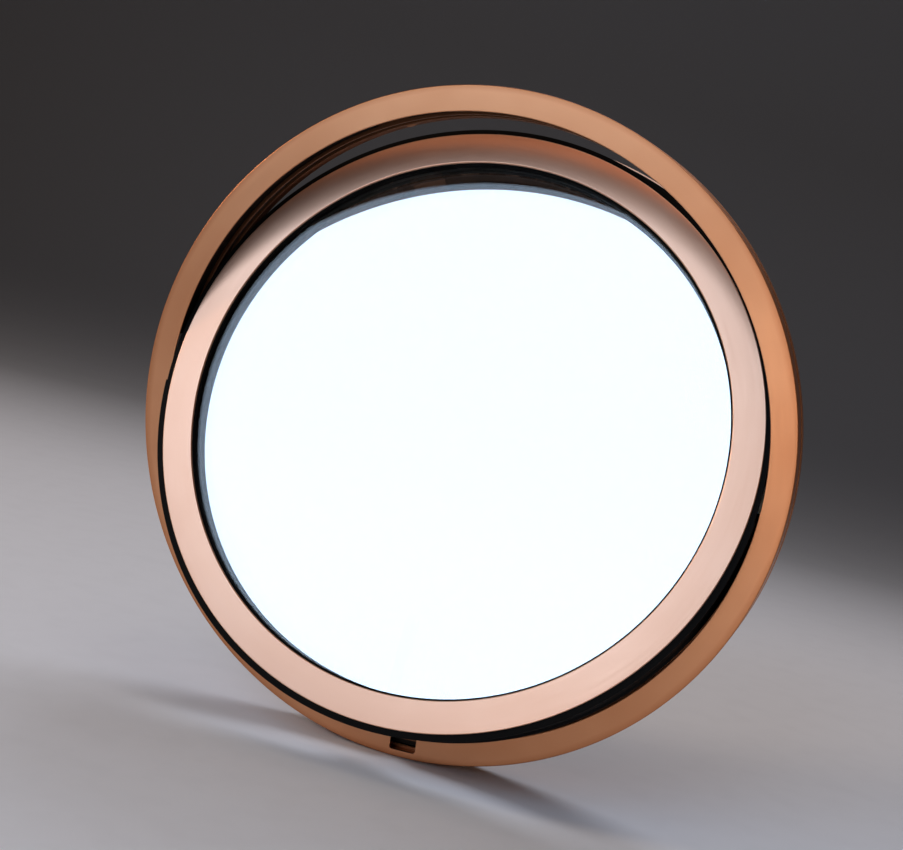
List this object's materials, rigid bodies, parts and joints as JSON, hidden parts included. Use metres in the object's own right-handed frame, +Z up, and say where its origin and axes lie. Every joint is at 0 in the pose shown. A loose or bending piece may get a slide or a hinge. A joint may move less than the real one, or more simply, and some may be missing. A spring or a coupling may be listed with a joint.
{
  "type": "porthole window",
  "caption": "Round centre-pivot window: a rolled aluminium frame ring with a double-glazed sash ring that tilts in it, standing part open.",
  "frame": {"origin": "on the pivot axis, at the centre of the frame's bore", "axes": "+Y along the frame's axis from outside to room, +Z up, pivot axis along X"},
  "size_m": [0.7079, 0.2576, 0.708],
  "materials": {
    "coated_aluminium": "satin peach-copper coating",
    "coated_sash_aluminium": "satin pale peach coating",
    "polyamide": "black glass-filled polyamide",
    "rubber_seal": "black EPDM, matt",
    "stainless_steel": "turned stainless steel",
    "zinc_casting": "grey zinc casting",
    "pivot_steel": "turned and zinc-plated steel",
    "nylon": "natural nylon",
    "cap_plastic": "moulded peach-brown plastic",
    "coated_glass": "solar-control coated float glass",
    "clear_glass": "clear float glass",
    "spacer_metal": "dark grey coated spacer bar",
    "sealant": "black edge sealant",
    "packer_plastic": "blue glazing packer"
  },
  "bodies": {
    "frame": {"frame_front_ring": "coated_aluminium", "frame_thermal_break": "polyamide", "frame_back_ring": "coated_aluminium", "frame_seal": "rubber_seal", "lower_stop_ring": "coated_aluminium", "lower_stop_seal": "rubber_seal", "lower_stop_screws": "stainless_steel", "bearing_left": "zinc_casting", "bearing_right": "zinc_casting", "bearing_screws": "stainless_steel", "friction_washers": "nylon", "fixing_sleeves": "pivot_steel", "fixing_caps": "cap_plastic", "keeper": "zinc_casting", "keeper_screws": "stainless_steel"},
    "sash": {"sash_front_ring": "coated_sash_aluminium", "sash_thermal_break": "polyamide", "sash_back_ring": "coated_sash_aluminium", "sash_edge_seal": "rubber_seal", "outer_glazing_gasket": "rubber_seal", "outer_pane": "clear_glass", "spacer_bar": "spacer_metal", "edge_sealant": "sealant", "inner_pane": "coated_glass", "setting_blocks": "packer_plastic", "inner_glazing_gasket": "rubber_seal", "glazing_bead": "coated_sash_aluminium", "upper_overlap_ring": "coated_sash_aluminium", "upper_overlap_seal": "rubber_seal", "upper_overlap_screws": "stainless_steel", "pivot_pin_left": "pivot_steel", "pivot_pin_right": "pivot_steel", "pivot_pin_screws": "stainless_steel", "latch_case": "coated_sash_aluminium", "latch_case_screws": "stainless_steel", "lever_pin": "stainless_steel"},
    "lever": {"latch_lever": "coated_sash_aluminium"}
  },
  "joints": [
    {"name": "sash_tilt", "type": "hinge", "parent": "frame", "child": "sash", "pos_m": [0, 0, 0], "axis": [-1, 0, 0], "range_deg": [-17, 73]},
    {"name": "lever_turn", "type": "hinge", "parent": "sash", "child": "lever", "pos_m": [0, -0.05157, -0.30892], "axis": [0, -0.9563, 0.2924], "range_deg": [0, 90]}
  ]
}
